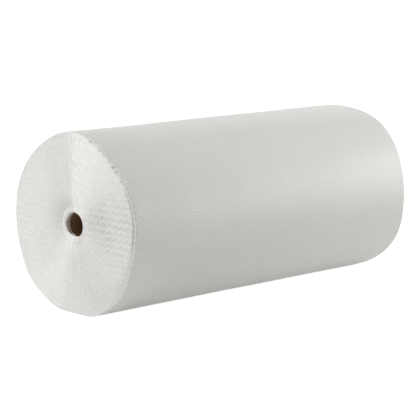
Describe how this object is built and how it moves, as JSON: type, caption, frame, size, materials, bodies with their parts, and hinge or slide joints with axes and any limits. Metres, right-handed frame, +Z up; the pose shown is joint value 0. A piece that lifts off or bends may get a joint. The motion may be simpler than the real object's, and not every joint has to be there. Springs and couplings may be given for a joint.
{
  "type": "bubble film roll",
  "caption": "Long fat roll of clear cushioning film with air bubbles, wound on a paperboard tube with an open bore, lying on its side on a small flat.",
  "frame": {"origin": "on the surface the roll lies on, under the middle of its length", "axes": "+X along the roll, from the end shown in the picture to the far end; +Z up"},
  "size_m": [1.2149, 0.5585, 0.5515],
  "materials": {
    "film": "milky clear polyethylene film, soft sheen",
    "paperboard": "uncoated brown paperboard, spiral wound, dull"
  },
  "bodies": {
    "root": {"bubble_film": "film", "core_tube": "paperboard"}
  },
  "joints": []
}
